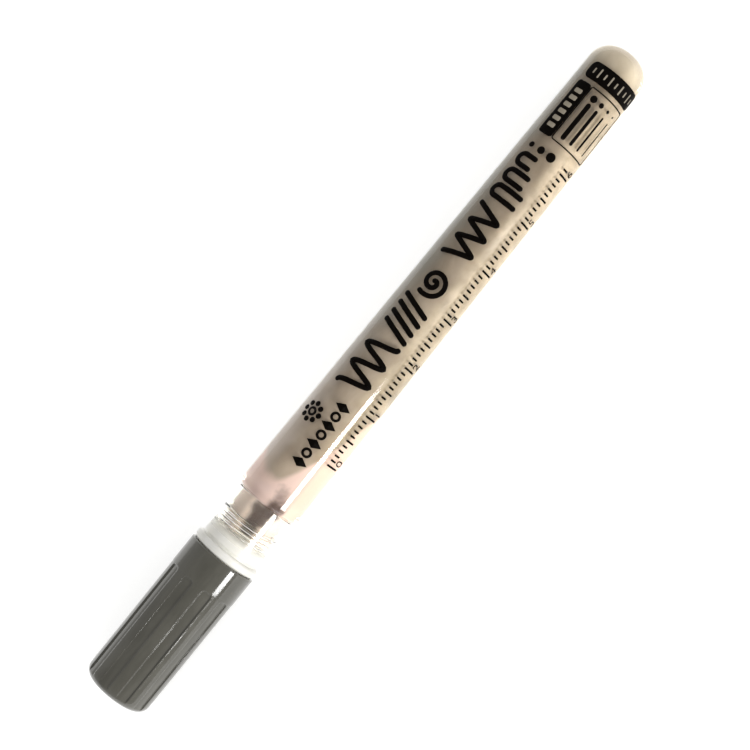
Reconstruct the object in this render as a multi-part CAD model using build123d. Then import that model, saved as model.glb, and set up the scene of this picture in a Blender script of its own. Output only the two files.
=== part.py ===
from build123d import *
import math
import os

# A paint marker with its cap on. It lies along X with the cap toward -X and the tail toward +X.
# Sizes are in millimetres. Places along the marker count from the closed end of the cap.

# Stretches of the whole marker, one after another from the closed end of the cap to the tail
cap_length = 28.4
cap_mouth_gap = 0.1
flange_width = 1.5
flange_groove_width = 0.4
skirt_length = 9.2
shoulder_gap = 0.1
barrel_length = 94.3

# Barrel: a bottle with a neck, a round shoulder, a tapering body and a domed tail
barrel_radius = 5.95
barrel_taper = 0.8
barrel_wall = 0.85
shoulder_width = 1.3
shoulder_round = 1.1
shoulder_wall = 1.2
inner_shoulder_length = 2.0
tail_round = 4.0
tail_wall = 1.0
neck_length = 7.6
neck_wall = 0.85

# Neck thread: two starts, right-handed
thread_starts = 2
thread_pitch = 0.7
thread_height = 0.4
thread_root_width = 0.4
thread_crest_width = 0.12
thread_length = 3.8
thread_lead_in = 0.6
thread_step_height = 0.3
thread_step_length = 0.2

# Front section: flange, threaded skirt over the barrel's neck, cap seat, sleeve around the valve, cone
flange_proud = 0.05
flange_round = 0.5
flange_groove_depth = 0.25
skirt_wall = 0.4
skirt_round = 0.2
seat_step = 1.1
seat_length = 6.5
seat_lip = 0.3
seat_round = 0.2
bead_height = 0.22
bead_width = 1.4
bead_setback = 2.4
chamber_share = 0.56
chamber_depth = 10.5
valve_seat_wall = 1.2
cone_length = 5.3
cone_tip_wall = 0.57
cone_tip_round = 0.5

# Cap: a plain band at the mouth, raised ribs with flutes between them, a rounded closed end
cap_wall = 0.98
cap_end_wall = 1.3
cap_end_round = 1.9
cap_mouth_round = 0.25
cap_band_length = 5.3
cap_band_step = 0.05
cap_taper = 0.07
rib_count = 10
flute_share = 0.5
flute_depth = 0.22
flute_end_round = 0.6
rib_turn_deg = 7.5

# Cap liner: the inner cup that shuts around the nose of the front section
liner_bore_radius = 3.0
liner_wall = 0.7
liner_floor = 0.65

# Nib and the ferrule that guides it
nib_radius = 0.8
nib_tip_radius = 0.35
nib_taper_length = 2.0
nib_reach = 2.2
nib_tip_round = 0.3
ferrule_wall = 0.4
ferrule_reach = 1.0
ferrule_grip = 2.2
ferrule_round = 0.25

# Valve: plunger with the nib's socket, seal, spring, and a housing with a spoked hub
nib_socket_wall = 0.37
nib_socket_depth = 1.8
plunger_nose_reach = 3.1
plunger_head_thickness = 1.0
plunger_stem_radius = 0.9
stem_overlap = 0.4
paint_gap = 0.55
seal_thickness = 0.6
seal_inset = 0.12
seal_round = 0.2
spring_length = 6.4
spring_stem_gap = 0.2
spring_wire_radius = 0.2
spring_turns = 6
housing_flange_thickness = 0.8
housing_wall = 0.6
housing_front_length = 1.0
hub_margin = 0.2
hub_thickness = 1.2
spoke_count = 3
spoke_width = 0.9

# Gasket between the neck's rim and the valve housing
gasket_thickness = 0.9
gasket_width = 0.85

# Mixing ball, lying on the lowest line of the barrel's bore behind the shoulder
ball_radius = 2.5
ball_setback = 7.8

# Fits
running_clearance = 0.1
snug_clearance = 0.03
loose_clearance = 0.3
thread_clearance = 0.15
flank_clearance = 0.12
overrun = 1.0

# Radii that follow from the sizes above, from the barrel inward and from the nib outward
tail_radius = barrel_radius - barrel_taper
neck_radius = barrel_radius - shoulder_width
thread_core_radius = neck_radius - thread_step_height
thread_crest_radius = thread_core_radius + thread_height
neck_bore_radius = thread_core_radius - neck_wall
rim_bore_radius = thread_core_radius + thread_clearance
skirt_bore_radius = neck_radius + loose_clearance
skirt_radius = skirt_bore_radius + skirt_wall
flange_groove_radius = skirt_radius - flange_groove_depth
flange_radius = barrel_radius + flange_proud
seat_radius = flange_radius - seat_step
bead_radius = seat_radius + bead_height
cap_bore_radius = bead_radius + running_clearance
cap_band_radius = cap_bore_radius + cap_wall
cap_rib_radius = cap_band_radius - cap_band_step
cap_end_radius = cap_rib_radius - cap_taper
cap_bore_end_radius = cap_end_radius - cap_wall
cone_rear_radius = seat_radius - seat_lip
ferrule_bore_radius = nib_radius + running_clearance
ferrule_radius = ferrule_bore_radius + ferrule_wall
ferrule_seat_radius = ferrule_radius + snug_clearance
cone_tip_radius = ferrule_seat_radius + cone_tip_wall
nib_socket_radius = nib_radius + snug_clearance
plunger_nose_radius = nib_socket_radius + nib_socket_wall
nose_bore_radius = plunger_nose_radius + loose_clearance
seal_bore_radius = plunger_nose_radius + snug_clearance
chamber_radius = nose_bore_radius + chamber_share * (seat_radius - nose_bore_radius)
plunger_head_radius = chamber_radius - paint_gap
seal_radius = plunger_head_radius - seal_inset
spring_radius = plunger_stem_radius + spring_stem_gap + spring_wire_radius
hub_radius = spring_radius + spring_wire_radius + hub_margin
marker_axis_height = cap_band_radius

# Places that follow from the sizes above
flange_front_x = cap_length + cap_mouth_gap
flange_rear_x = flange_front_x + flange_width
skirt_front_x = flange_rear_x + flange_groove_width
skirt_rear_x = skirt_front_x + skirt_length
shoulder_x = skirt_rear_x + shoulder_gap
tail_x = shoulder_x + barrel_length
neck_rim_x = shoulder_x - neck_length
gasket_front_x = neck_rim_x - gasket_thickness
housing_seat_x = gasket_front_x - housing_flange_thickness
thread_front_x = neck_rim_x + thread_lead_in
thread_rear_x = thread_front_x + thread_length
thread_lead = thread_pitch * thread_starts
seat_front_x = flange_front_x - seat_length
valve_seat_x = flange_front_x - chamber_depth
cone_rear_x = valve_seat_x - valve_seat_wall
cone_tip_x = cone_rear_x - cone_length
ferrule_front_x = cone_tip_x - ferrule_reach
ferrule_rear_x = cone_tip_x + ferrule_grip
nib_tip_x = ferrule_front_x - nib_reach
plunger_head_x = valve_seat_x + seal_thickness + 2 * snug_clearance
plunger_back_x = plunger_head_x + plunger_head_thickness
plunger_nose_x = plunger_head_x - plunger_nose_reach - seal_thickness
hub_front_x = plunger_back_x + spring_length
hub_rear_x = hub_front_x + hub_thickness
liner_front_x = cap_end_wall + snug_clearance
cone_rise = cone_rear_radius - cone_tip_radius
liner_rim_run = (liner_bore_radius - running_clearance - cone_tip_radius) / cone_rise
liner_rear_x = cone_tip_x + cone_length * liner_rim_run


def turned(*points):
    """Body turned about the marker's axis from (place, radius) points; a third value rounds that corner."""
    corners = [(place, radius) for place, radius, *_ in points]
    rounds = [rest[0] if rest else 0 for _, _, *rest in points]
    if any(rounds):
        outline = FilletPolyline(*corners, radius=rounds, close=True)
    else:
        outline = Polyline(*corners, close=True)
    return revolve(make_face(outline), Axis.X)


def barrel_outside(place):
    """Outside radius of the tapering barrel at a place along the marker."""
    run = (place - shoulder_x) / barrel_length
    return barrel_radius + (tail_radius - barrel_radius) * run


def thread_ridges(front, rear, low, high, low_width, high_width):
    """Helical ridges, one for each start, clipped to a stretch whose ends slope away.

    Each is a trapezium swept from its foot at one radius to its crest at another, outward or inward.
    """
    path_front = front - thread_lead
    path = Helix(thread_lead, rear - front + 2 * thread_lead, low, (path_front, 0, 0), (1, 0, 0))
    outward = ((path @ 0) - Vector(path_front, 0, 0)).normalized()
    section_plane = Plane(path @ 0, x_dir=(1, 0, 0), z_dir=Vector(1, 0, 0).cross(outward))
    section = section_plane * make_face(
        Polyline(
            (-low_width / 2, 0),
            (low_width / 2, 0),
            (high_width / 2, high - low),
            (-high_width / 2, high - low),
            close=True,
        )
    )
    ridge = sweep(section, path, is_frenet=True)
    sense = 1 if high > low else -1
    base = low - sense * thread_clearance
    top = high + sense * thread_clearance
    rise = abs(top - base)
    clip = turned((front, base), (front + rise, top), (rear - rise, top), (rear, base))
    return [Rot(360 * start / thread_starts, 0, 0) * ridge & clip for start in range(thread_starts)]


def thread_width(radius):
    """Width of the male thread at a radius, along its sloping flanks."""
    run = (radius - thread_core_radius) / (thread_crest_radius - thread_core_radius)
    return thread_root_width + (thread_crest_width - thread_root_width) * run


def make_cap_shell():
    band_x = cap_length - cap_band_length
    body = turned(
        (0, 0),
        (0, cap_end_radius, cap_end_round),
        (band_x, cap_rib_radius),
        (band_x, cap_band_radius),
        (cap_length, cap_band_radius, cap_mouth_round),
        (cap_length, cap_bore_radius, cap_mouth_round),
        (cap_end_wall, cap_bore_end_radius),
        (cap_end_wall, 0),
    )
    period_deg = 360 / rib_count
    flute_deg = flute_share * period_deg
    floor_end = cap_end_radius - flute_depth
    floor_band = cap_rib_radius - flute_depth
    flute_profile = make_face(
        Polyline(
            (-overrun, floor_end),
            (band_x, floor_band),
            (band_x, floor_band + overrun),
            (-overrun, floor_end + overrun),
            close=True,
        )
    )
    flute = revolve(flute_profile, Axis.X, flute_deg)
    band_edges = [edge for edge in flute.edges() if edge.center().X > band_x - snug_clearance]
    corners = [edge for edge in band_edges if edge.geom_type == GeomType.LINE]
    flute = fillet(corners, flute_end_round)
    for rib in range(rib_count):
        body -= Rot(rib * period_deg + rib_turn_deg, 0, 0) * flute
    return body


def make_cap_liner():
    floor_radius = cap_bore_end_radius - snug_clearance
    inside = liner_front_x + liner_floor
    return turned(
        (liner_front_x, 0),
        (liner_front_x, floor_radius),
        (inside, floor_radius),
        (inside, liner_bore_radius + liner_wall),
        (liner_rear_x, liner_bore_radius + liner_wall),
        (liner_rear_x, liner_bore_radius),
        (inside, liner_bore_radius),
        (inside, 0),
    )


def make_front_section():
    bead_x = flange_front_x - bead_setback
    skirt_bore_x = neck_rim_x + running_clearance
    outside = [
        (cone_tip_x, ferrule_seat_radius),
        (cone_tip_x, cone_tip_radius, cone_tip_round),
        (cone_rear_x, cone_rear_radius),
        (seat_front_x, cone_rear_radius),
        (seat_front_x, seat_radius, seat_round),
        (bead_x - bead_width / 2, seat_radius),
        (bead_x - bead_width / 2 + bead_height, bead_radius),
        (bead_x + bead_width / 2 - bead_height, bead_radius),
        (bead_x + bead_width / 2, seat_radius),
        (flange_front_x, seat_radius),
        (flange_front_x, flange_radius, flange_round),
        (flange_rear_x, flange_radius, flange_round),
        (flange_rear_x, flange_groove_radius),
        (skirt_front_x, flange_groove_radius),
        (skirt_front_x, skirt_radius, skirt_round),
        (skirt_rear_x, skirt_radius, skirt_round),
    ]
    inside = [
        (skirt_rear_x, skirt_bore_radius),
        (skirt_bore_x, skirt_bore_radius),
        (skirt_bore_x, rim_bore_radius),
        (housing_seat_x, rim_bore_radius),
        (housing_seat_x, chamber_radius),
        (valve_seat_x, chamber_radius),
        (valve_seat_x, nose_bore_radius),
        (ferrule_rear_x, nose_bore_radius),
        (ferrule_rear_x, ferrule_seat_radius),
    ]
    body = turned(*outside, *inside)
    foot = skirt_bore_radius + thread_clearance
    crest = thread_core_radius + thread_clearance
    for ridge in thread_ridges(
        thread_front_x - thread_pitch / 2,
        thread_rear_x - thread_pitch / 2,
        foot,
        crest,
        thread_pitch - thread_width(foot) - 2 * flank_clearance,
        thread_pitch - thread_width(crest) - 2 * flank_clearance,
    ):
        body += ridge
    return body


def make_barrel():
    inside_radius = barrel_outside(shoulder_x) - barrel_wall
    tail_inside_x = tail_x - tail_wall
    tail_inside_radius = barrel_outside(tail_inside_x) - barrel_wall
    inner_shoulder_x = shoulder_x + shoulder_wall
    body = turned(
        (neck_rim_x, neck_bore_radius),
        (neck_rim_x, thread_core_radius),
        (thread_rear_x, thread_core_radius),
        (thread_rear_x + thread_step_length, neck_radius),
        (shoulder_x, neck_radius),
        (shoulder_x, barrel_radius, shoulder_round),
        (tail_x, tail_radius, tail_round),
        (tail_x, 0),
        (tail_inside_x, 0),
        (tail_inside_x, tail_inside_radius, tail_round - barrel_wall),
        (inner_shoulder_x + inner_shoulder_length, inside_radius, shoulder_round),
        (inner_shoulder_x, neck_bore_radius),
    )
    foot = thread_core_radius - thread_clearance
    for ridge in thread_ridges(
        thread_front_x,
        thread_rear_x,
        foot,
        thread_crest_radius,
        thread_width(foot),
        thread_crest_width,
    ):
        body += ridge
    return body


def make_gasket():
    outside = rim_bore_radius - running_clearance
    return turned(
        (gasket_front_x + snug_clearance, outside - gasket_width),
        (gasket_front_x + snug_clearance, outside),
        (neck_rim_x - snug_clearance, outside),
        (neck_rim_x - snug_clearance, outside - gasket_width),
    )


def make_valve_housing():
    tube_radius = chamber_radius - snug_clearance
    tube_bore = tube_radius - housing_wall
    body = turned(
        (hub_front_x - housing_front_length, tube_bore),
        (hub_front_x - housing_front_length, tube_radius),
        (housing_seat_x, tube_radius),
        (housing_seat_x, rim_bore_radius - running_clearance),
        (gasket_front_x, rim_bore_radius - running_clearance),
        (gasket_front_x, tube_bore),
    )
    stem_bore = plunger_stem_radius + running_clearance
    hub = turned(
        (hub_front_x, stem_bore),
        (hub_front_x, hub_radius),
        (hub_rear_x, hub_radius),
        (hub_rear_x, stem_bore),
    )
    inner_end = (stem_bore + hub_radius) / 2
    outer_end = tube_bore + housing_wall / 2
    spoke = Pos((hub_front_x + hub_rear_x) / 2, (inner_end + outer_end) / 2, 0) * Box(
        hub_thickness, outer_end - inner_end, spoke_width
    )
    body += hub
    for arm in range(spoke_count):
        body += Rot(360 * arm / spoke_count, 0, 0) * spoke
    return body


def make_valve_plunger():
    socket_x = plunger_nose_x + nib_socket_depth
    return turned(
        (plunger_nose_x, nib_socket_radius),
        (plunger_nose_x, plunger_nose_radius),
        (plunger_head_x, plunger_nose_radius),
        (plunger_head_x, plunger_head_radius),
        (plunger_back_x, plunger_head_radius),
        (plunger_back_x, plunger_stem_radius),
        (hub_front_x + stem_overlap, plunger_stem_radius),
        (hub_front_x + stem_overlap, 0),
        (socket_x, 0),
        (socket_x, nib_socket_radius),
    )


def make_plunger_seal():
    front = valve_seat_x + snug_clearance
    rear = plunger_head_x - snug_clearance
    return turned(
        (front, seal_bore_radius, seal_round),
        (front, seal_radius, seal_round),
        (rear, seal_radius),
        (rear, seal_bore_radius),
    )


def make_valve_spring():
    front = plunger_back_x + snug_clearance + spring_wire_radius
    rear = hub_front_x - snug_clearance - spring_wire_radius
    quarter_rise = (rear - front) / (4 * spring_turns)

    def place(quarter):
        turn = quarter * math.pi / 2
        along = front + quarter_rise * quarter
        return Vector(along, spring_radius * math.cos(turn), spring_radius * math.sin(turn))

    def heading(quarter):
        turn = quarter * math.pi / 2
        rise = quarter_rise / (math.pi / 2)
        return Vector(rise, -spring_radius * math.sin(turn), spring_radius * math.cos(turn)).normalized()

    arcs = []
    for quarter in range(4 * spring_turns):
        start, end = place(quarter), place(quarter + 1)
        leave, arrive = heading(quarter), heading(quarter + 1)
        chord = end - start
        along = chord.dot(leave + arrive)
        bend = 2 * (1 - leave.dot(arrive))
        reach = (math.sqrt(along * along + bend * chord.dot(chord)) - along) / bend
        middle = (start + end + (leave - arrive) * reach) / 2
        arcs.append(Edge.make_tangent_arc(start, leave, middle))
        arcs.append(Edge.make_tangent_arc(middle, arcs[-1] % 1, end))
    path = Wire(arcs)
    steps = 24
    points = [place(i / steps) for i in range(4 * spring_turns * steps + 1)]
    apart = 2 * steps
    nearest = min((p - q).length for i, p in enumerate(points) for q in points[i + apart :])
    print("valve spring, least gap between turns:", round(nearest - 2 * spring_wire_radius, 3), "mm")
    return sweep(Plane(place(0), z_dir=heading(0)) * Circle(spring_wire_radius), path)


def make_nib():
    taper_x = nib_tip_x + nib_taper_length
    rear_x = plunger_nose_x + nib_socket_depth - snug_clearance
    return turned(
        (nib_tip_x, 0),
        (nib_tip_x, nib_tip_radius, nib_tip_round),
        (taper_x, nib_radius),
        (rear_x, nib_radius),
        (rear_x, 0),
    )


def make_nib_ferrule():
    rear = ferrule_rear_x - snug_clearance
    return turned(
        (ferrule_front_x, ferrule_bore_radius),
        (ferrule_front_x, ferrule_radius, ferrule_round),
        (rear, ferrule_radius),
        (rear, ferrule_bore_radius),
    )


def make_mixing_ball():
    place = shoulder_x + ball_setback
    drop = barrel_outside(place) - barrel_wall - running_clearance - ball_radius
    return Pos(place, 0, -drop) * Sphere(ball_radius)


pieces = {
    "cap_shell": make_cap_shell(),
    "cap_liner": make_cap_liner(),
    "front_section": make_front_section(),
    "nib_ferrule": make_nib_ferrule(),
    "nib": make_nib(),
    "valve_plunger": make_valve_plunger(),
    "plunger_seal": make_plunger_seal(),
    "valve_spring": make_valve_spring(),
    "valve_housing": make_valve_housing(),
    "neck_gasket": make_gasket(),
    "barrel": make_barrel(),
    "mixing_ball": make_mixing_ball(),
}

# The middle of the marker's length stands over the origin, and its lowest line touches the table
os.makedirs("parts", exist_ok=True)
for name, piece in pieces.items():
    placed = Pos(-tail_x / 2, 0, marker_axis_height) * piece
    export_step(placed, os.path.join("parts", name + ".step"))
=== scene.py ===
import math

import bmesh
import bpy
from mathutils import Matrix, Vector


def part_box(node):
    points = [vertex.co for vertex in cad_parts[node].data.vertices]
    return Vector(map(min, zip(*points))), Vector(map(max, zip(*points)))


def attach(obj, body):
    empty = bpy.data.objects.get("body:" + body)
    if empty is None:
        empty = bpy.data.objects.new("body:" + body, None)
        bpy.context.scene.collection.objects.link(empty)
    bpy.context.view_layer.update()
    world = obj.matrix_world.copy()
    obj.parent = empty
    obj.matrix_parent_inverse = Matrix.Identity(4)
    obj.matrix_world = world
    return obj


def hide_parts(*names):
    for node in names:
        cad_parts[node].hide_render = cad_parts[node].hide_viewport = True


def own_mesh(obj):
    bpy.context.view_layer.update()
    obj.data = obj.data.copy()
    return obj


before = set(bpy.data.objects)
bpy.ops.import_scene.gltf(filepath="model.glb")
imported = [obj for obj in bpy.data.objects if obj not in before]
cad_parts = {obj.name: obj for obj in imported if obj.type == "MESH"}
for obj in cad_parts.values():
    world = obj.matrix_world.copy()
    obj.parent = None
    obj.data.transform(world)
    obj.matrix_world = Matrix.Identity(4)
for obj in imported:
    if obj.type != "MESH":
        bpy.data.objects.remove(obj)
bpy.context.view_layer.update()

# A capped paint marker lying on a white table. Sizes on the marker are in millimetres, as on a
# drawing, with places counted along it from the closed end of the cap. Other lengths, and values
# written with MM, are in metres. Angles are in degrees round the marker from the line that faces
# the camera, positive toward -Y.
MM = 0.001

cap_low, cap_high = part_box("cap_shell")
barrel_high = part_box("barrel")[1]
CLOSED_END_X = cap_low[0]
AXIS_HEIGHT = (cap_low[2] + cap_high[2]) / 2
CAP_RADIUS = (cap_high[2] - cap_low[2]) / 2

# Barrel, as in the part's own sizes
TAIL_PLACE = (barrel_high[0] - CLOSED_END_X) / MM
SHOULDER_PLACE = 39.7
TAIL_ROUND = 4.0
BARREL_RADIUS = 5.95
TAIL_RADIUS = 5.15
BARREL_WALL = 0.85
NECK_BORE_RADIUS = 3.5
INNER_SHOULDER_PLACE = 40.9
BORE_START_PLACE = 42.9
BORE_END_PLACE = 133.0
BORE_END_ROUND = 3.15

# Coat of paint on the bore: how far it reaches into the plastic, how thick it is, and where it starts
COAT_WETTING = 0.03
COAT_DEPTH = 0.07
COAT_FRONT_PLACE = 33.7
COAT_STEPS = 128
DOME_STEPS = 10
# Waves of the coat's front edge: how many go round, how far they move it, and their start in radians
COAT_EDGE_WAVES = ((3, 0.35, 0.4), (5, 0.22, 1.9), (9, 0.1, 4.1))

# Print: height of the inks over the barrel, and where each group stands along and round the marker
INK_LIFT = 0.008
INK_DEPTH = 0.02
MARK_LIFT = 0.034
PRINT_RADIUS = 5.6
EMBLEM_PLACES = (47.7, 60.6)
SAMPLES_PLACES = (62.5, 112.9)
SAMPLES_MIDDLE = -15.5
SAMPLES_HEIGHT = 6.0
SAMPLES_WIDTH = 0.9
RULER_START = 51.0
RULER_LENGTH = 61
RULER_ANGLE = 38.5
PANEL_PLACES = (114.4, 125.2)
PANEL_ANGLES = (-47, -17, 73)
BAND_PLACES = (125.95, 129.1)
BAND_ANGLES = (-46.5, 80)

# Table: the marker lies on it with the cap's band and the end of the tail
TABLE_SIZE = 3.0
TABLE_STEPS = 6
TABLE_COLOUR = (0.86, 0.86, 0.85, 1)
TABLE_ROUGHNESS = 0.7
TABLE_SPECULAR = 0.2
TABLE_GLOW = 0.54
TABLE_SHINE = 1.0
BAND_REST_PLACE = 28.1
TAIL_REST_PLACE = TAIL_PLACE - TAIL_ROUND

# Light: strength of the surroundings, and two lamps with the place they aim at, size and power
HORIZON_LIGHT = 0.92
ZENITH_LIGHT = 0.53
LAMP_ANGLE = 53.0
LAMP_DISTANCE = 0.5
LAMPS = {
    "key": (11.0, (0.122, 0.13), 1.25),
    "side": (-79.4, (0.009, 0.1), 0.07),
}

# Camera: how it leans over the marker, how the image is turned, and where it looks
FACING_LEAN = 18.0
CAMERA_TILT = 0.621
CAMERA_ROLL = 51.0125
CAMERA_DISTANCE = 0.276895
CAMERA_AIM = (0.0000749, -0.0005981)
CAMERA_NEAREST = 0.01
FOCAL_PIXELS = 1695.0
IMAGE_PIXELS = 750.0
SENSOR_WIDTH = 36.0


def row_x(place):
    """X in the frame of a place in millimetres from the closed end."""
    return CLOSED_END_X + place * MM


def facing(angle):
    """Unit direction, square to the marker's axis, at an angle from the line that faces the camera."""
    turn = math.radians(90 + FACING_LEAN + angle)
    return Vector((0, math.cos(turn), math.sin(turn)))


def on_marker(place, angle, radius):
    """Point at a place, angle and radius in millimetres round the marker's axis."""
    return Vector((row_x(place), 0, AXIS_HEIGHT)) + facing(angle) * radius * MM


def barrel_radius(place):
    """Outside radius of the barrel at a place, in millimetres."""
    run = (place - SHOULDER_PLACE) / (TAIL_PLACE - SHOULDER_PLACE)
    return BARREL_RADIUS + (TAIL_RADIUS - BARREL_RADIUS) * run


def round_to(angle):
    """Distance round the barrel, in millimetres, of an angle from the facing line."""
    return math.radians(angle) * PRINT_RADIUS


def srgb(red, green, blue):
    """Linear colour of an 8-bit display colour."""
    def linear(value):
        share = value / 255
        return share / 12.92 if share <= 0.04045 else ((share + 0.055) / 1.055) ** 2.4

    return (linear(red), linear(green), linear(blue), 1.0)


# Materials

# Textures: length of a feature, fineness, how far it is drawn out along the marker, and swirl
FINENESS = 3.0
FLOW_MARKS = {"feature": 2.5 * MM, "detail": 4.0, "stretch": 0.3, "distortion": 0.4}
DULL_PATCHES = {"feature": 2.5 * MM / 3}
MOULD_GRAIN = {"feature": 0.12 * MM, "detail": 2.0}
HAZE_PATCHES = {"feature": 3.0 * MM, "stretch": 0.4}
MOULD_WAVES = {"feature": 2.2 * MM, "detail": 2.0, "stretch": 0.35}
PAINT_CLOUDS = {"feature": 5.0 * MM, "detail": 5.0, "stretch": 0.45, "distortion": 0.6}
PAINT_PATCHES = {"feature": 2.6 * MM, "distortion": 0.3}
PAINT_EDGE = {"feature": 4.5 * MM, "detail": 2.0}
INK_PINHOLES = {"feature": 0.25 * MM}
INK_PATCHES = {"feature": 0.8 * MM}
INK_GRAIN = {"feature": 0.15 * MM, "detail": 2.0}
FIBRE_STRANDS = {"feature": 0.14 * MM, "stretch": 0.08}
SPRING_MARKS = {"feature": 0.1 * MM, "stretch": 0.3}
BALL_MARKS = {"feature": 0.6 * MM, "stretch": 0.3}

# Parts of a texture's range over which it goes from its first tone to its second
MIDDLE_RANGE = (0.3, 0.7)
CLOUD_RANGE = (0.3, 0.72)
PATCH_RANGE = (0.28, 0.72)
PINHOLE_RANGE = (0.64, 0.78)
STRAND_RANGE = (0.35, 0.65)
SMEAR_RANGE = (0.04, 0.85)

# Depths of relief, and how far the cap's sharp edges catch light as if rounded
GRAIN_RELIEF = 0.004 * MM
CAP_RELIEF = 0.0002 * MM
WAVE_RELIEF = 0.012 * MM
PAINT_RELIEF = 0.05 * MM
INK_RELIEF = 0.003 * MM
STRAND_RELIEF = 0.02 * MM
METAL_RELIEF = 0.003 * MM
CAP_EDGE_ROUND = 0.4 * MM
EDGE_SAMPLES = 16

# Opaque finishes: first and second tone, and roughness where smooth and where dull
CAP_GREY = (srgb(74, 72, 63), srgb(86, 84, 75), (0.06, 0.11))
LINER_WHITE = (srgb(226, 223, 213), srgb(239, 237, 230), (0.42, 0.55))
VALVE_WHITE = (srgb(229, 227, 219), srgb(243, 241, 235), (0.35, 0.48))
FERRULE_WHITE = (srgb(224, 221, 211), srgb(238, 236, 228), (0.22, 0.3))
SEAL_RUBBER = (srgb(214, 209, 197), srgb(228, 224, 214), (0.55, 0.7))
NIB_FIBRE = (srgb(196, 186, 166), srgb(226, 219, 204), (0.7, 0.9))
SPRING_STEEL = (srgb(176, 175, 171), srgb(214, 212, 207), (0.2, 0.32))
BALL_STEEL = (srgb(188, 187, 184), srgb(214, 212, 207), (0.08, 0.16))
INK_ROUGHNESS = (0.45, 0.6)
INK_SPECULAR = 0.03
DARK_INK = (srgb(9, 6, 4), srgb(36, 28, 22), INK_ROUGHNESS)
LIGHT_INK = (srgb(158, 149, 133), srgb(124, 115, 101), INK_ROUGHNESS)

# Clear plastics: tone where clear and where hazy
PLASTIC_IOR = 1.49
GLOSSY_SPECULAR = 0.65
SHADE_TINT = (0.985, 0.98, 0.972, 1)
BARREL_TINTS = (srgb(252, 250, 246), srgb(246, 243, 236))
BARREL_ROUGHNESS = (0.04, 0.09)
FRONT_TINTS = (srgb(253, 252, 247), srgb(248, 246, 238))
FRONT_SPECULAR = 0.3

# The front section is milky at its thick flange and clears toward the thin skirt behind it
MILKY_PLACES = (31.2, 33.8)
MILKY_CLEARNESS = (0.25, 1.0)
MILKY_ROUGHNESS = (0.3, 0.05)


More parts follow.
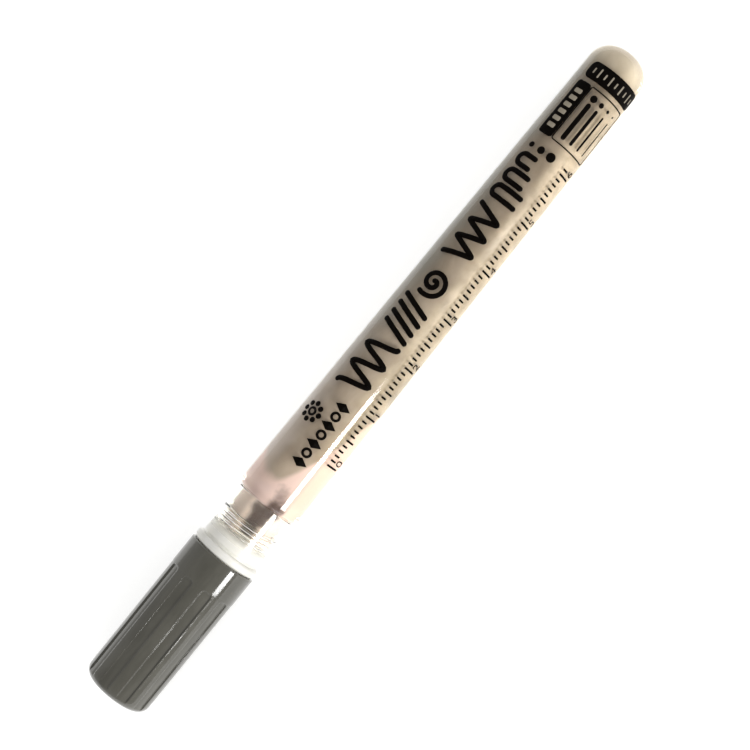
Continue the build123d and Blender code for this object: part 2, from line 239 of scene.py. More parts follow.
class Shader:
    """A node material with one Principled surface, and short calls for the textures that feed it."""

    def __init__(self, name):
        self.material = bpy.data.materials.new(name)
        self.material.use_nodes = True
        tree = self.material.node_tree
        self.nodes, self.links = tree.nodes, tree.links
        self.surface = self.nodes["Principled BSDF"]
        self.output = self.nodes["Material Output"]
        self.place = self.add("ShaderNodeTexCoord").outputs["Object"]

    def add(self, kind, **settings):
        node = self.nodes.new(kind)
        for name, value in settings.items():
            setattr(node, name, value)
        return node

    def feed(self, socket, source):
        """Links an output to a socket, or sets a plain value on it."""
        if isinstance(source, bpy.types.NodeSocket):
            self.links.new(source, socket)
        else:
            socket.default_value = source

    def set(self, **values):
        """Sets sockets of the surface by name, with _ for a space."""
        for name, value in values.items():
            self.feed(self.surface.inputs[name.replace("_", " ")], value)

    def stretched(self, stretch):
        """Coordinates in which a texture is drawn out along the marker, more for a smaller value."""
        mapping = self.add("ShaderNodeMapping")
        self.feed(mapping.inputs["Vector"], self.place)
        mapping.inputs["Scale"].default_value = (stretch, 1.0, 1.0)
        return mapping.outputs["Vector"]

    def noise(self, feature, detail=FINENESS, stretch=1.0, distortion=0.0):
        """Cloudy value from 0 to 1 whose features are about that long in metres."""
        place = self.place if stretch == 1.0 else self.stretched(stretch)
        node = self.add("ShaderNodeTexNoise")
        self.feed(node.inputs["Vector"], place)
        node.inputs["Scale"].default_value = 1 / feature
        node.inputs["Detail"].default_value = detail
        node.inputs["Distortion"].default_value = distortion
        return node.outputs["Fac"]

    def spread(self, value, low, high, out_low=0.0, out_high=1.0):
        """Value between low and high, spread smoothly over the new range."""
        node = self.add("ShaderNodeMapRange", interpolation_type="SMOOTHSTEP")
        self.feed(node.inputs["Value"], value)
        node.inputs["From Min"].default_value = low
        node.inputs["From Max"].default_value = high
        node.inputs["To Min"].default_value = out_low
        node.inputs["To Max"].default_value = out_high
        return node.outputs["Result"]

    def uneven(self, texture, out_low=0.0, out_high=1.0):
        """The middle of a texture's range, spread over the new range."""
        return self.spread(texture, *MIDDLE_RANGE, out_low, out_high)

    def math(self, operation, first, second):
        node = self.add("ShaderNodeMath", operation=operation)
        self.feed(node.inputs[0], first)
        self.feed(node.inputs[1], second)
        return node.outputs["Value"]

    def mix(self, share, first, second):
        """A colour between two colours."""
        node = self.add("ShaderNodeMix", data_type="RGBA")
        self.feed(node.inputs[0], share)
        self.feed(node.inputs[6], first)
        self.feed(node.inputs[7], second)
        return node.outputs[2]

    def along(self):
        """X of the point in the row's frame."""
        node = self.add("ShaderNodeSeparateXYZ")
        self.feed(node.inputs["Vector"], self.place)
        return node.outputs["X"]

    def run(self, start, end, out_low=0.0, out_high=1.0):
        """Value that changes smoothly between two places along the marker."""
        return self.spread(self.along(), row_x(start), row_x(end), out_low, out_high)

    def across(self, angle):
        """Distance of the point from the marker's axis toward an angle, in metres."""
        node = self.add("ShaderNodeVectorMath", operation="DOT_PRODUCT")
        self.feed(node.inputs[0], self.place)
        node.inputs[1].default_value = facing(angle)
        return self.math("SUBTRACT", node.outputs["Value"], AXIS_HEIGHT * facing(angle).z)

    def warped(self, feature, shift):
        """Coordinates pushed about by noise, each way up to half of a shift in metres."""
        noise = self.add("ShaderNodeTexNoise")
        self.feed(noise.inputs["Vector"], self.place)
        noise.inputs["Scale"].default_value = 1 / feature
        noise.inputs["Detail"].default_value = FINENESS
        centred = self.add("ShaderNodeVectorMath", operation="SUBTRACT")
        self.feed(centred.inputs[0], noise.outputs["Color"])
        centred.inputs[1].default_value = (0.5, 0.5, 0.5)
        pushed = self.add("ShaderNodeVectorMath", operation="MULTIPLY_ADD")
        self.feed(pushed.inputs[0], centred.outputs["Vector"])
        pushed.inputs[1].default_value = (shift, shift, shift)
        self.feed(pushed.inputs[2], self.place)
        return pushed.outputs["Vector"]

    def nearness(self, place, point, reach):
        """1 where a place meets a point, falling smoothly to 0 at a reach in metres."""
        node = self.add("ShaderNodeVectorMath", operation="DISTANCE")
        self.feed(node.inputs[0], place)
        node.inputs[1].default_value = point
        return self.spread(node.outputs["Value"], reach, 0.0)

    def bump(self, height, depth, edge_round=0.0):
        """Relief of that depth in metres; sharp moulded edges may catch light as if rounded."""
        node = self.add("ShaderNodeBump")
        node.inputs["Distance"].default_value = depth
        self.feed(node.inputs["Height"], height)
        self.feed(self.surface.inputs["Normal"], node.outputs["Normal"])
        if edge_round:
            edge = self.add("ShaderNodeBevel", samples=EDGE_SAMPLES)
            edge.inputs["Radius"].default_value = edge_round
            self.feed(node.inputs["Normal"], edge.outputs["Normal"])

    def let_light_through(self):
        """Clear plastic casts no hard shadow, so light reaches what lies behind it."""
        path = self.add("ShaderNodeLightPath")
        clear = self.add("ShaderNodeBsdfTransparent")
        clear.inputs["Color"].default_value = SHADE_TINT
        mixed = self.add("ShaderNodeMixShader")
        self.feed(mixed.inputs[0], path.outputs["Is Shadow Ray"])
        self.feed(mixed.inputs[1], self.surface.outputs["BSDF"])
        self.feed(mixed.inputs[2], clear.outputs["BSDF"])
        self.feed(self.output.inputs["Surface"], mixed.outputs["Shader"])


def moulded(name, dark, light, roughness, relief=GRAIN_RELIEF, edge_round=0.0):
    """Opaque moulded plastic: faint flow marks along the marker, and a fine grain."""
    shader = Shader(name)
    flow = shader.uneven(shader.noise(**FLOW_MARKS))
    shader.set(Base_Color=shader.mix(flow, dark, light), IOR=PLASTIC_IOR)
    shader.set(Roughness=shader.uneven(shader.noise(**DULL_PATCHES), *roughness))
    shader.bump(shader.noise(**MOULD_GRAIN), relief, edge_round)
    return shader


def clear_plastic(name, tint, haze):
    """Clear moulded plastic with patches of haze and waviness from the mould; also gives the patches."""
    shader = Shader(name)
    patches = shader.noise(**HAZE_PATCHES)
    shader.set(Base_Color=shader.mix(shader.uneven(patches), tint, haze), IOR=PLASTIC_IOR)
    shader.bump(shader.noise(**MOULD_WAVES), WAVE_RELIEF)
    shader.let_light_through()
    return shader, patches


def barrel_shell():
    """Glossy clear plastic, a little duller in patches."""
    shader, patches = clear_plastic("barrel_plastic", *BARREL_TINTS)
    shader.set(Transmission_Weight=1.0, Specular_IOR_Level=GLOSSY_SPECULAR)
    shader.set(Roughness=shader.uneven(patches, *BARREL_ROUGHNESS))
    return shader


def front_shell():
    """Clear plastic whose milkiness grows toward the flange and the cap seat."""
    shader, _ = clear_plastic("front_plastic", *FRONT_TINTS)
    shader.set(Transmission_Weight=shader.run(*MILKY_PLACES, *MILKY_CLEARNESS))
    shader.set(Roughness=shader.run(*MILKY_PLACES, *MILKY_ROUGHNESS), Specular_IOR_Level=FRONT_SPECULAR)
    return shader


# Paint: pairs of tones for its clouds or patches, and single tones
THICK_FRONT = (srgb(152, 136, 117), srgb(187, 172, 153))
THICK_REAR = (srgb(122, 107, 86), srgb(156, 141, 122))
# Lighter, warmer tones of the near side, which faces the key lamp: the lightness is painted light
NEAR_LIT_FRONT = (srgb(153, 137, 109), srgb(186, 171, 143))
NEAR_LIT_REAR = (srgb(176, 158, 129), srgb(214, 196, 167))
TAIL_TONES = (srgb(218, 204, 178), srgb(236, 223, 199))
PINK_TONES = (srgb(222, 196, 188), srgb(234, 209, 197))
# Tones of the far side: a painted sheen, light toward the front and fading darker toward the tail
FAR_SHEEN_TONES = (srgb(200, 189, 180), srgb(126, 122, 110))
# Pink of the near side, lighter as painted light from the key lamp
PINK_NEAR_LIT = srgb(236, 208, 188)
# Pale pink in the neck: partly the paint's own tone, partly painted light making up for light lost
# through the clear walls in front of it
PINK_NECK = srgb(255, 236, 226)
SMEAR_BROWN = srgb(60, 33, 15)
PAINT_ROUGHNESS = (0.38, 0.5)

# Places between which a tone changes along the marker, and distances across it toward its near side
NEAR_SIDE = 90
BODY_RUN = (46.0, 120.0)
# Where the far side's painted sheen fades along the marker
FAR_SHEEN_RUN = (46.0, 92.0)
TAIL_RUN = (126.5, 133.0)
# Over how long a run the neck's paler pink, partly painted light, takes over
NECK_FADE = 1.0
# Where the near side's painted light begins, across the marker
NEAR_LIT_EDGE = (-1.2 * MM, 1.8 * MM)
# Where the far side's painted sheen begins, across the marker
FAR_SHEEN_EDGE = (-3.4 * MM, -6.4 * MM)
# Where the pink's painted light on the near side begins
PINK_EDGE = (-0.6 * MM, 2.6 * MM)
EDGE_WANDER = 2.6 * MM
# The pale tail covers this share of the far side and all of the near side; its fuller cover on the near
# side is painted light
TAIL_FAR_SHARE = 0.75

# The grey starts with a round nose: where, how far its tip lies off the facing line, and its curve
NOSE_RUN = (41.2, 43.4)
NOSE_OFFSET = 2.1 * MM
NOSE_CURVE = 380.0

# Brown smears of old paint: place, angle, reach and strongest cover of each
PAINT_SMEARS = (
    (34.3, 4, 1.7, 0.94),
    (35.6, 0, 2.1, 0.94),
    (36.9, 6, 2.7, 0.94),
    (38.2, 4, 2.8, 0.94),
    (39.2, 14, 2.6, 0.94),
    (40.4, 21, 3.0, 0.94),
    (42.0, 17, 2.2, 0.5),
    (43.4, 10, 2.0, 0.4),
)
SMEAR_FEATURE = 2.8 * MM
SMEAR_PUSH = 3.4 * MM


def grey_paint(shader, clouds, ragged):
    """The grey: thick; lighter and warmer on the near side, as painted light from the key lamp; a painted
    sheen on the far side that turns darker toward the tail; pale at its end, fully so on the near side as
    painted light.
    """
    patches = shader.spread(shader.noise(**PAINT_PATCHES), *PATCH_RANGE)
    run = shader.run(*BODY_RUN)
    thick = shader.mix(run, shader.mix(clouds, *THICK_FRONT), shader.mix(clouds, *THICK_REAR))
    # The near side's lighter tones are painted light from the key lamp
    near_lit = shader.mix(run, shader.mix(patches, *NEAR_LIT_FRONT), shader.mix(patches, *NEAR_LIT_REAR))
    near = shader.spread(ragged, *NEAR_LIT_EDGE)
    # The far side gets a painted sheen in place of the grey
    far_sheen = shader.mix(shader.run(*FAR_SHEEN_RUN), *FAR_SHEEN_TONES)
    body = shader.mix(shader.spread(ragged, *FAR_SHEEN_EDGE), shader.mix(near, thick, near_lit), far_sheen)
    # The pale tail is fuller on the near side, as painted light
    tail_cover = shader.spread(near, 0.0, 1.0, TAIL_FAR_SHARE, 1.0)
    tail = shader.math("MULTIPLY", shader.run(*TAIL_RUN), tail_cover)
    return shader.mix(tail, body, shader.mix(clouds, *TAIL_TONES))


def pink_paint(shader, clouds, ragged):
    """The pink at the shoulder: warmer and lighter on the near side, the lightness being painted light
    from the key lamp, and pale in the neck, partly as painted light.
    """
    # The near side's lighter pink is painted light from the key lamp
    pink = shader.mix(shader.spread(ragged, *PINK_EDGE), shader.mix(clouds, *PINK_TONES), PINK_NEAR_LIT)
    # The neck's paler pink is partly painted light
    neck = shader.run(SHOULDER_PLACE + NECK_FADE, SHOULDER_PLACE - NECK_FADE)
    return shader.mix(neck, pink, PINK_NECK)


def smear_radius(place):
    """Radius of the bore where a smear lies."""
    run = (place - INNER_SHOULDER_PLACE) / (BORE_START_PLACE - INNER_SHOULDER_PLACE)
    full = barrel_radius(BORE_START_PLACE) - BARREL_WALL
    return NECK_BORE_RADIUS + (full - NECK_BORE_RADIUS) * min(max(run, 0), 1)


def smeared(shader, colour):
    """Brown smears over a colour."""
    pushed = shader.warped(SMEAR_FEATURE, SMEAR_PUSH)
    for place, angle, reach, cover in PAINT_SMEARS:
        near = shader.nearness(pushed, on_marker(place, angle, smear_radius(place)), reach * MM)
        colour = shader.mix(shader.spread(near, *SMEAR_RANGE, 0.0, cover), colour, SMEAR_BROWN)
    return colour


def paint():
    """Acrylic paint on the bore: cloudy grey, pink before its round nose, with brown smears, and painted
    light and a painted sheen on its sides.
    """
    shader = Shader("paint")
    texture = shader.noise(**PAINT_CLOUDS)
    clouds = shader.spread(texture, *CLOUD_RANGE)
    wander = shader.math("MULTIPLY", shader.noise(**PAINT_EDGE), EDGE_WANDER)
    side = shader.across(NEAR_SIDE)
    ragged = shader.math("SUBTRACT", side, wander)
    nose = shader.math("ADD", side, NOSE_OFFSET)
    nose = shader.math("MULTIPLY", shader.math("MULTIPLY", nose, nose), NOSE_CURVE)
    edge = shader.math("SUBTRACT", shader.math("SUBTRACT", shader.along(), wander), nose)
    cover = shader.spread(edge, row_x(NOSE_RUN[0]), row_x(NOSE_RUN[1]))
    colour = shader.mix(cover, pink_paint(shader, clouds, ragged), grey_paint(shader, clouds, ragged))
    shader.set(Base_Color=smeared(shader, colour))
    shader.set(Roughness=shader.uneven(texture, *PAINT_ROUGHNESS))
    shader.bump(texture, PAINT_RELIEF)
    return shader


def ink(name, colour, faded, roughness):
    """Screen-printed ink: a thin matt film with pinholes and slightly uneven tone."""
    shader = Shader(name)
    pinholes = shader.spread(shader.noise(**INK_PINHOLES), *PINHOLE_RANGE)
    shader.set(Base_Color=shader.mix(pinholes, colour, faded), Specular_IOR_Level=INK_SPECULAR)
    shader.set(Roughness=shader.uneven(shader.noise(**INK_PATCHES), *roughness))
    shader.bump(shader.noise(**INK_GRAIN), INK_RELIEF)
    return shader


def fibre(name, dark, light, roughness):
    """Pressed polyester fibre: fine strands along the nib."""
    shader = Shader(name)
    strands = shader.noise(**FIBRE_STRANDS)
    shader.set(Base_Color=shader.mix(shader.spread(strands, *STRAND_RANGE), dark, light))
    shader.set(Roughness=shader.uneven(strands, *roughness))
    shader.bump(strands, STRAND_RELIEF)
    return shader


def metal(name, dark, light, roughness, marks):
    """Bare metal with fine drawing marks."""
    shader = Shader(name)
    texture = shader.noise(**marks)
    shader.set(Base_Color=shader.mix(shader.uneven(texture), dark, light))
    shader.set(Roughness=shader.uneven(texture, *roughness), Metallic=1.0)
    shader.bump(texture, METAL_RELIEF)
    return shader


cap_plastic = moulded("cap_plastic", *CAP_GREY, CAP_RELIEF, CAP_EDGE_ROUND)
cap_plastic.set(Specular_IOR_Level=GLOSSY_SPECULAR)
liner_plastic = moulded("liner_plastic", *LINER_WHITE)
valve_plastic = moulded("valve_plastic", *VALVE_WHITE)
ferrule_plastic = moulded("ferrule_plastic", *FERRULE_WHITE)
seal_rubber = moulded("seal_rubber", *SEAL_RUBBER)
front_plastic = front_shell()
barrel_plastic = barrel_shell()
paint_film = paint()
dark_ink = ink("dark_ink", *DARK_INK)
light_ink = ink("light_ink", *LIGHT_INK)
spring_steel = metal("spring_steel", *SPRING_STEEL, SPRING_MARKS)
ball_steel = metal("ball_steel", *BALL_STEEL, BALL_MARKS)
nib_fibre = fibre("nib_fibre", *NIB_FIBRE)

NODE_SHADERS = {
    "cap_shell": cap_plastic,
    "cap_liner": liner_plastic,
    "front_section": front_plastic,
    "nib_ferrule": ferrule_plastic,
    "nib": nib_fibre,
    "valve_plunger": valve_plastic,
    "plunger_seal": seal_rubber,
    "valve_spring": spring_steel,
    "valve_housing": valve_plastic,
    "neck_gasket": seal_rubber,
    "barrel": barrel_plastic,
    "mixing_ball": ball_steel,
}


def finish_slots(piece, shader):
    """Gives every slot of a piece the same material."""
    for material_slot in piece.material_slots:
        material_slot.material = shader.material


for node_name, node_shader in NODE_SHADERS.items():
    finish_slots(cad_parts[node_name], node_shader)


# Valve spring

def pressed_spring():
    """The spring as a copy of its part, riding on the front section in place of the part, which is
    hidden.
    """
    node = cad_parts["valve_spring"]
    coil = bpy.data.objects.new("spring_coil", node.data.copy())
    bpy.context.collection.objects.link(coil)
    finish_slots(coil, spring_steel)
    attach(coil, "front")
    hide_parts("valve_spring")
    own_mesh(coil)


pressed_spring()


# Pieces that only the looks need

def add_piece(name, mesh_maker, shader):
    """Links a new mesh with that material to the scene; it rides on the barrel."""
    mesh = bpy.data.meshes.new(name)
    mesh_maker.to_mesh(mesh)
    mesh_maker.free()
    mesh.materials.append(shader.material)
    for polygon in mesh.polygons:
        polygon.use_smooth = True
    piece = bpy.data.objects.new(name, mesh)
    bpy.context.collection.objects.link(piece)
    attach(piece, "barrel")
    return piece


def join_rings(maker, front, rear, outward):
    """Faces between two rings of equally many corners."""
    count = len(front)
    for step in range(count):
        after = (step + 1) % count
        corners = (front[step], front[after], rear[after], rear[step])
        maker.faces.new(corners if outward else corners[::-1])


# Coat of paint

def coat_profile(offset):
    """Places and radii of the bore from neck to tail, moved outward by an offset."""
    end_radius = barrel_radius(BORE_END_PLACE) - BARREL_WALL
    points = [
        (COAT_FRONT_PLACE, NECK_BORE_RADIUS + offset),
        (INNER_SHOULDER_PLACE - offset, NECK_BORE_RADIUS + offset),
        (BORE_START_PLACE - offset, barrel_radius(BORE_START_PLACE) - BARREL_WALL + offset),
    ]
    centre_place = BORE_END_PLACE - BORE_END_ROUND
    centre_radius = end_radius - BORE_END_ROUND
    reach = BORE_END_ROUND + offset
    for step in range(DOME_STEPS + 1):
        turn = math.pi / 2 * step / DOME_STEPS
        points.append((centre_place + reach * math.sin(turn), centre_radius + reach * math.cos(turn)))
    return points


def edge_wave(angle):
    """How far the coat's front edge wanders from its place, in millimetres."""
    turn = math.radians(angle)
    return sum(size * math.sin(count * turn + start) for count, size, start in COAT_EDGE_WAVES)


def coat_rings(maker, offset):
    """Rings of corners along one skin of the coat; the first one follows the wavy edge."""
    rings = []
    for index, (place, radius) in enumerate(coat_profile(offset)):
        ring = []
        for step in range(COAT_STEPS):
            angle = 360 * step / COAT_STEPS
            moved = place + (edge_wave(angle) if index == 0 else 0)
            ring.append(maker.verts.new(on_marker(moved, angle, radius)))
        rings.append(ring)
    return rings


def paint_coat():
    """The paint on the wall of the bore: a closed skin, wet against the plastic."""
    maker = bmesh.new()
    outer = coat_rings(maker, COAT_WETTING)
    inner = coat_rings(maker, COAT_WETTING - COAT_DEPTH)
    for rings, outward in ((outer, True), (inner, False)):
        for front, rear in zip(rings, rings[1:]):
            join_rings(maker, front, rear, outward)
        maker.faces.new(rings[-1] if outward else rings[-1][::-1])
    join_rings(maker, inner[0], outer[0], True)
    bmesh.ops.recalc_face_normals(maker, faces=maker.faces)
    add_piece("paint_coat", maker, paint_film)


paint_coat()


# Outlines and lines of the print, in millimetres: u along the marker and v round it

ARC_STEP = math.radians(12)
CORNER_STEPS = 6
CIRCLE_CORNERS = 36
DISC_CORNERS = 20
WAVE_STEPS = 20
SPIRAL_STEPS = 28
EASE_STEPS = 6


def circle(u, v, radius, count=CIRCLE_CORNERS):
    turns = [2 * math.pi * step / count for step in range(count)]
    return [(u + radius * math.cos(turn), v + radius * math.sin(turn)) for turn in turns]


def rounded_box(u0, v0, u1, v1, corner):
    """Corners of a box with round corners, counted round once."""
    outline = []
    for u, v, start in (
        (u1 - corner, v1 - corner, 0),
        (u0 + corner, v1 - corner, 90),
        (u0 + corner, v0 + corner, 180),
        (u1 - corner, v0 + corner, 270),
    ):
        for step in range(CORNER_STEPS + 1):
            turn = math.radians(start + 90 * step / CORNER_STEPS)
            outline.append((u + corner * math.cos(turn), v + corner * math.sin(turn)))
    return outline


def arc_points(centre, radius, start, end):
    count = max(2, round(abs(end - start) / ARC_STEP))
    turns = [start + (end - start) * step / count for step in range(count + 1)]
    return [centre + radius * Vector((math.cos(turn), math.sin(turn))) for turn in turns]


def wave(start, length, middle, swing, count):
    """Points of a wavy line of so many swings."""
    points = []
    total = int(count * WAVE_STEPS)
    for step in range(total + 1):
        turn = 2 * math.pi * step / WAVE_STEPS
        points.append((start + length * step / total, middle - swing * math.cos(turn)))
    return points


def spiral(u, v, inner, outer, turns):
    """Points of an even spiral, from its inside to its outside."""
    points = []
    total = int(turns * SPIRAL_STEPS)
    for step in range(total + 1):
        turn = 2 * math.pi * step / SPIRAL_STEPS
        radius = inner + (outer - inner) * step / total
        points.append((u + radius * math.cos(turn), v + radius * math.sin(turn)))
    return points


def eased(corners, cut):
    """The same corners joined by straight lines, each inner corner eased by a short curve."""
    path = [Vector(corner) for corner in corners]
    points = [path[0]]
    for before, corner, after in zip(path, path[1:], path[2:]):
        start = corner + (before - corner).normalized() * cut
        end = corner + (after - corner).normalized() * cut
        for step in range(EASE_STEPS + 1):
            share = step / EASE_STEPS
            points.append(start.lerp(corner, share).lerp(corner.lerp(end, share), share))
    return points + [path[-1]]


# Print on the barrel

WRAP_STEP = 0.25
WELD_DISTANCE = 0.004
SHARPEST_BEND_SHARE = 0.4
DIGIT_STEPS = 4


class Print:
    """A flat ink drawing that is wrapped round the barrel."""

    def __init__(self):
        self.maker = bmesh.new()

    def corners(self, points):
        return [self.maker.verts.new((u, v, 0)) for u, v in points]

    def fill(self, outline):
        """A filled outline of (u, v) corners."""
        face = self.maker.faces.new(self.corners(outline))
        bmesh.ops.triangulate(self.maker, faces=[face])

    def disc(self, u, v, radius, count=DISC_CORNERS):
        self.fill(circle(u, v, radius, count))

    def block(self, u0, v0, u1, v1, corner):
        self.fill(rounded_box(u0, v0, u1, v1, corner))

    def ring(self, outer, inner):
        join_rings(self.maker, self.corners(outer), self.corners(inner), True)

    def lined_box(self, u0, v0, u1, v1, corner, width):
        """A rounded box drawn as a line of that width, inside the given edges."""
        outer = rounded_box(u0, v0, u1, v1, corner)
        inner = rounded_box(u0 + width, v0 + width, u1 - width, v1 - width, corner - width)
        self.ring(outer, inner)

    def stroke(self, points, width):
        """A line of even width with round ends along (u, v) points."""
        left, right = [], []
        half = width / 2
        path = [Vector(point) for point in points]
        for index, point in enumerate(path):
            before = (point - path[index - 1]).normalized() if index else None
            after = (path[index + 1] - point).normalized() if index + 1 < len(path) else None
            heading = ((before or after) + (after or before)).normalized()
            side = Vector((-heading.y, heading.x))
            straight = Vector((-(before or after).y, (before or after).x))
            reach = half / max(side.dot(straight), SHARPEST_BEND_SHARE)
            left.append(point + side * reach)
            right.append(point - side * reach)
        start = math.atan2(*(left[0] - path[0]).yx)
        end = math.atan2(*(right[-1] - path[-1]).yx)
        round_start = arc_points(path[0], half, start, start + math.pi)
        round_end = arc_points(path[-1], half, end, end + math.pi)
        left, right = self.corners(left), self.corners(right)
        for index in range(len(path) - 1):
            self.maker.faces.new((left[index], right[index], right[index + 1], left[index + 1]))
        cap_start = self.corners(round_start[1:-1])
        cap_end = self.corners(round_end[1:-1])
        self.maker.faces.new([left[0], *cap_start, right[0]])
        self.maker.faces.new([right[-1], *cap_end, left[-1]])

    def number(self, text, u, v, height):
        """Plain digits, upright as the camera sees them: their tops face away from -Y."""
        curve = bpy.data.curves.new("digits", "FONT")
        curve.body = text
        curve.size = height
        curve.align_x = "CENTER"
        curve.align_y = "CENTER"
        curve.resolution_u = DIGIT_STEPS
        holder = bpy.data.objects.new("digits", curve)
        mesh = bpy.data.meshes.new_from_object(holder)
        mesh.transform(Matrix.Translation((u, v, 0)) @ Matrix.Scale(-1, 4, (0, 1, 0)))
        self.maker.from_mesh(mesh)
        bpy.data.objects.remove(holder)
        bpy.data.curves.remove(curve)
        bpy.data.meshes.remove(mesh)

    def wrap(self, name, shader, lift):
        """Cuts the drawing into narrow strips, lays it on the barrel and gives it the ink's thickness."""
        maker = self.maker
        lowest = min(vert.co.y for vert in maker.verts)
        highest = max(vert.co.y for vert in maker.verts)
        for step in range(1, int((highest - lowest) / WRAP_STEP) + 1):
            cut = lowest + step * WRAP_STEP
            parts = list(maker.verts) + list(maker.edges) + list(maker.faces)
            bmesh.ops.bisect_plane(maker, geom=parts, plane_co=(0, cut, 0), plane_no=(0, 1, 0))
        bmesh.ops.remove_doubles(maker, verts=maker.verts, dist=WELD_DISTANCE)
        for vert in maker.verts:
            place, round_by = vert.co.x, vert.co.y
            vert.co = on_marker(place, math.degrees(round_by / PRINT_RADIUS), barrel_radius(place) + lift)
        bmesh.ops.recalc_face_normals(maker, faces=maker.faces)
        for face in maker.faces:
            middle = face.calc_center_median()
            if face.normal.dot(middle - Vector((middle.x, 0, AXIS_HEIGHT))) < 0:
                face.normal_flip()
        piece = add_piece(name, maker, shader)
        shell = piece.modifiers.new("ink_depth", "SOLIDIFY")
        shell.thickness = INK_DEPTH * MM
        shell.offset = 1


# Emblem

ROSETTE_SETBACK = 4.4
ROSETTE_ANGLE = -39
ROSETTE_RING = (0.8, 0.38)
PETALS = 8
PETAL_REACH = 1.5
PETAL_RADIUS = 0.46
ROW_MARKS = 7
ROW_ANGLE = -1
ROW_RING = (0.86, 0.42)
DIAMOND_HALF = (0.8, 1.4)


def emblem():
    """A rosette of dots, and under it a row of diamonds and rings."""
    drawing = Print()
    first, last = EMBLEM_PLACES
    middle = (last - ROSETTE_SETBACK, round_to(ROSETTE_ANGLE))
    for petal in circle(*middle, PETAL_REACH, PETALS):
        drawing.disc(*petal, PETAL_RADIUS)
    outer, inner = ROSETTE_RING
    drawing.ring(circle(*middle, outer), circle(*middle, inner))
    pitch = (last - first) / ROW_MARKS
    outer, inner = ROW_RING
    wide, tall = DIAMOND_HALF
    for mark in range(ROW_MARKS):
        u, v = first + pitch * (mark + 0.5), round_to(ROW_ANGLE)
        if mark % 2:
            drawing.ring(circle(u, v, outer), circle(u, v, inner))
        else:
            drawing.fill([(u, v - tall), (u + wide, v), (u, v + tall), (u - wide, v)])
    drawing.wrap("print_emblem", dark_ink, INK_LIFT)


# Sample strokes, each with its distance from the start of the row

WAVE_START, WAVE_LENGTH, WAVE_SWINGS = 0.4, 9.4, 2.5
BARS_START, BARS, BAR_PITCH, BAR_LEAN = 12.1, 4, 1.75, 0.8
SPIRAL_START, SPIRAL_INNER, SPIRAL_TURNS = 22.0, 0.3, 1.6
SPIRAL_WIDTH_SHARE = 0.92
ZIGZAG_START, TEETH, TOOTH_PITCH, TOOTH_EASE = 27.2, 6, 1.65, 0.7
ARCHES_START, ARCHES, ARCH_RADIUS, ARCH_PITCH = 40.1, 3, 1.0, 3.25
ARCH_LEG_SHARE = 0.45
DOTS, DOTS_SETBACK, DOT_PITCH = 3, 1.0, 2.1
DOT_RADIUS, DOT_GROWTH, DOT_CORNERS = 0.5, 0.16, 28


def arches(drawing, first, middle, swing):
    """Arches whose legs get shorter one after another."""
    for arch in range(ARCHES):
        centre = Vector((first + ARCHES_START + arch * ARCH_PITCH, middle - swing + ARCH_RADIUS))
        legs = middle + swing * (1.0 - ARCH_LEG_SHARE * arch)
        top = arc_points(centre, ARCH_RADIUS, math.pi, 2 * math.pi)
        start, end = Vector((top[0].x, legs)), Vector((top[-1].x, legs))
        drawing.stroke([start, *top, end], SAMPLES_WIDTH)


def samples():
    """Bold sample strokes one after another: wave, bars, spiral, zigzag, arches and dots."""
    drawing = Print()
    middle = round_to(SAMPLES_MIDDLE)
    swing = SAMPLES_HEIGHT / 2 - SAMPLES_WIDTH / 2
    first, last = SAMPLES_PLACES
    drawing.stroke(wave(first + WAVE_START, WAVE_LENGTH, middle, swing, WAVE_SWINGS), SAMPLES_WIDTH)
    for bar in range(BARS):
        u = first + BARS_START + bar * BAR_PITCH
        drawing.stroke([(u + BAR_LEAN, middle - swing), (u - BAR_LEAN, middle + swing)], SAMPLES_WIDTH)
    coil = spiral(first + SPIRAL_START, middle, SPIRAL_INNER, swing, SPIRAL_TURNS)
    drawing.stroke(coil, SAMPLES_WIDTH * SPIRAL_WIDTH_SHARE)
    zigzag = []
    for tooth in range(TEETH + 1):
        u = first + ZIGZAG_START + tooth * TOOTH_PITCH
        zigzag.append((u, middle + (swing if tooth % 2 else -swing)))
    drawing.stroke(eased(zigzag, TOOTH_EASE), SAMPLES_WIDTH)
    arches(drawing, first, middle, swing)
    for dot in range(DOTS):
        v = middle + (dot - 1) * DOT_PITCH
        drawing.disc(last - DOTS_SETBACK, v, DOT_RADIUS + DOT_GROWTH * dot, DOT_CORNERS)
    drawing.wrap("print_samples", dark_ink, INK_LIFT)


# Ruler: its ticks by how many millimetres they count, with their lengths

CENTIMETRE = 10
TICK_LENGTHS = ((CENTIMETRE, 2.8), (5, 1.9), (1, 1.2))
TICK_HALF_WIDTH = 0.17
TICK_CORNER = 0.12
NUMBER_OFFSET = (1.15, 2.45)
NUMBER_HEIGHT = 2.5


def ruler():
    """A ruler along the barrel: a tick each millimetre and a plain number each centimetre."""
    drawing = Print()
    base = round_to(RULER_ANGLE)
    beside, below = NUMBER_OFFSET
    for tick in range(RULER_LENGTH + 1):
        u = RULER_START + tick
        length = next(size for every, size in TICK_LENGTHS if tick % every == 0)
        drawing.block(u - TICK_HALF_WIDTH, base, u + TICK_HALF_WIDTH, base + length, TICK_CORNER)
        if tick % CENTIMETRE == 0:
            drawing.number(str(tick // CENTIMETRE), u + beside, base + below, NUMBER_HEIGHT)
    drawing.wrap("print_ruler", dark_ink, INK_LIFT)


# Panel

PANEL_CORNER = 0.5
PANEL_LINE = 0.22
HEAD_CORNER = 0.6
HEAD_GAP = 0.02
SAMPLE_LINES = (0.85, 0.62, 0.42, 0.26)
SAMPLE_LINE_START = 1.7
SAMPLE_LINE_PITCH = 1.75
SAMPLE_LINE_MARGINS = (1.3, 3.0)
SAMPLE_DOT_MARGIN = 1.6
SAMPLE_DOT_SHARE = 0.75
HEAD_MARKS = 6
HEAD_MARK_MARGIN = 1.9
HEAD_MARK_HALF = (0.4, 0.75)
HEAD_MARK_CORNER = 0.2


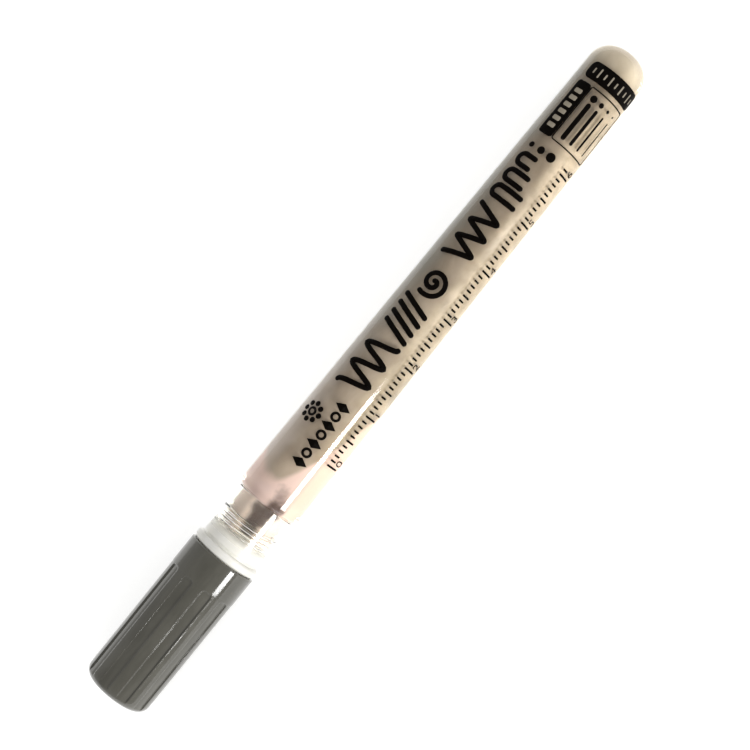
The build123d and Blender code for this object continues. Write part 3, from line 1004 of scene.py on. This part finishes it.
def panel():
    """An outlined panel with a solid head; sample lines from thick to thin stand under it."""
    drawing = Print()
    low, high = PANEL_PLACES
    top, head, bottom = (round_to(angle) for angle in PANEL_ANGLES)
    drawing.lined_box(low, head + HEAD_GAP, high, bottom, PANEL_CORNER, PANEL_LINE)
    drawing.block(low, top, high, head, HEAD_CORNER)
    before, after = SAMPLE_LINE_MARGINS
    for line, width in enumerate(SAMPLE_LINES):
        v = head + SAMPLE_LINE_START + line * SAMPLE_LINE_PITCH
        drawing.stroke([(low + before, v), (high - after, v)], width)
        drawing.disc(high - SAMPLE_DOT_MARGIN, v, width * SAMPLE_DOT_SHARE)
    drawing.wrap("print_panel", dark_ink, INK_LIFT)
    marks = Print()
    middle = (top + head) / 2
    half_length, half_height = HEAD_MARK_HALF
    for mark in range(HEAD_MARKS):
        u = low + HEAD_MARK_MARGIN + (high - low - 2 * HEAD_MARK_MARGIN) * mark / (HEAD_MARKS - 1)
        edges = (u - half_length, middle - half_height, u + half_length, middle + half_height)
        marks.block(*edges, HEAD_MARK_CORNER)
    marks.wrap("print_panel_marks", light_ink, MARK_LIFT)


# Band

BAND_CORNER = 1.1
BAND_TICKS = 9
BAND_TICK_MARGIN = 1.4
BAND_TICK_HALF_LENGTHS = (0.5, 0.85)
BAND_TICK_HALF_WIDTH = 0.15
BAND_TICK_CORNER = 0.1


def band():
    """A long solid block round the tail, with light ticks in it, short and long by turns."""
    drawing = Print()
    low, high = BAND_PLACES
    top, bottom = (round_to(angle) for angle in BAND_ANGLES)
    drawing.block(low, top, high, bottom, BAND_CORNER)
    drawing.wrap("print_band", dark_ink, INK_LIFT)
    marks = Print()
    middle = (low + high) / 2
    for tick in range(BAND_TICKS):
        v = top + BAND_TICK_MARGIN + (bottom - top - 2 * BAND_TICK_MARGIN) * tick / (BAND_TICKS - 1)
        half = BAND_TICK_HALF_LENGTHS[tick % 2]
        edges = (middle - half, v - BAND_TICK_HALF_WIDTH, middle + half, v + BAND_TICK_HALF_WIDTH)
        marks.block(*edges, BAND_TICK_CORNER)
    marks.wrap("print_band_marks", light_ink, MARK_LIFT)


emblem()
samples()
ruler()
panel()
band()


# Table, light and camera

def table_white():
    """A dull white that looks white to the camera, in mirror images and through clear plastic."""
    shader = Shader("table_white")
    shader.set(Base_Color=TABLE_COLOUR, Roughness=TABLE_ROUGHNESS, Specular_IOR_Level=TABLE_SPECULAR)
    path = shader.add("ShaderNodeLightPath")
    mirrored = shader.math("MAXIMUM", path.outputs["Is Glossy Ray"], path.outputs["Is Transmission Ray"])
    mirrored = shader.math("MULTIPLY", mirrored, TABLE_SHINE)
    direct = shader.math("MULTIPLY", path.outputs["Is Camera Ray"], TABLE_GLOW)
    glow = shader.add("ShaderNodeEmission")
    glow.inputs["Color"].default_value = (1, 1, 1, 1)
    shader.feed(glow.inputs["Strength"], shader.math("MAXIMUM", direct, mirrored))
    both = shader.add("ShaderNodeAddShader")
    shader.feed(both.inputs[0], shader.surface.outputs["BSDF"])
    shader.feed(both.inputs[1], glow.outputs["Emission"])
    shader.feed(shader.output.inputs["Surface"], both.outputs["Shader"])
    return shader


def table():
    """A white table top. It leans a little, so that the cap's band and the tail both touch it."""
    tail_clearance = CAP_RADIUS - barrel_radius(TAIL_REST_PLACE) * MM
    slope = math.atan2(tail_clearance, (TAIL_REST_PLACE - BAND_REST_PLACE) * MM)
    maker = bmesh.new()
    bmesh.ops.create_grid(maker, x_segments=TABLE_STEPS, y_segments=TABLE_STEPS, size=TABLE_SIZE / 2)
    top = bpy.data.meshes.new("table")
    maker.to_mesh(top)
    maker.free()
    floor = bpy.data.objects.new("table", top)
    floor.location = (row_x(BAND_REST_PLACE), 0, 0)
    floor.rotation_euler = (0, -slope, 0)
    bpy.context.collection.objects.link(floor)
    top.materials.append(table_white().material)


def area_lamp(name, place, size, power):
    """A soft lamp low on the near side, aimed at a place on the marker's axis."""
    lamp = bpy.data.lights.new(name, "AREA")
    lamp.shape = "RECTANGLE"
    lamp.size, lamp.size_y = size
    lamp.energy = power
    target = on_marker(place, 0, 0)
    position = target + facing(LAMP_ANGLE) * LAMP_DISTANCE
    look = (target - position).to_track_quat("-Z", "Y")
    holder = bpy.data.objects.new(name, lamp)
    holder.matrix_world = Matrix.LocRotScale(position, look, None)
    bpy.context.collection.objects.link(holder)


def surroundings():
    """White all round, dimmer overhead than at the horizon, and plain white to the camera."""
    world = bpy.data.worlds.new("studio")
    world.use_nodes = True
    nodes, links = world.node_tree.nodes, world.node_tree.links
    height = nodes.new("ShaderNodeSeparateXYZ")
    links.new(nodes.new("ShaderNodeTexCoord").outputs["Generated"], height.inputs["Vector"])
    level = nodes.new("ShaderNodeMapRange")
    level.inputs["To Min"].default_value = HORIZON_LIGHT
    level.inputs["To Max"].default_value = ZENITH_LIGHT
    links.new(height.outputs["Z"], level.inputs["Value"])
    path = nodes.new("ShaderNodeLightPath")
    shown = nodes.new("ShaderNodeMath")
    shown.operation = "MAXIMUM"
    links.new(path.outputs["Is Camera Ray"], shown.inputs[0])
    links.new(path.outputs["Is Transmission Ray"], shown.inputs[1])
    strength = nodes.new("ShaderNodeMix")
    links.new(shown.outputs["Value"], strength.inputs[0])
    links.new(level.outputs["Result"], strength.inputs[2])
    strength.inputs[3].default_value = 1.0
    links.new(strength.outputs[0], nodes["Background"].inputs["Strength"])
    nodes["Background"].inputs["Color"].default_value = (1, 1, 1, 1)
    bpy.context.scene.world = world


def camera():
    """The camera looks down on the marker from its near side, turned so that the tail points up right."""
    aim = Vector((*CAMERA_AIM, AXIS_HEIGHT))
    tilt, roll = math.radians(CAMERA_TILT), math.radians(CAMERA_ROLL)
    back = math.cos(tilt) * facing(0) + math.sin(tilt) * Vector((-1, 0, 0))
    marker_line = Vector((1, 0, 0))
    along = (marker_line - back * marker_line.dot(back)).normalized()
    right = math.cos(roll) * along - math.sin(roll) * back.cross(along)
    up = back.cross(right)
    lens = bpy.data.cameras.new("camera")
    lens.sensor_width = SENSOR_WIDTH
    lens.lens = FOCAL_PIXELS / IMAGE_PIXELS * SENSOR_WIDTH
    lens.clip_start = CAMERA_NEAREST
    holder = bpy.data.objects.new("camera", lens)
    turn = Matrix((right, up, back)).transposed().to_4x4()
    holder.matrix_world = Matrix.Translation(aim + back * CAMERA_DISTANCE) @ turn
    bpy.context.collection.objects.link(holder)
    bpy.context.scene.camera = holder


table()
for lamp_name, lamp_values in LAMPS.items():
    area_lamp(lamp_name, *lamp_values)
surroundings()
camera()
bpy.context.scene.view_settings.view_transform = "Standard"
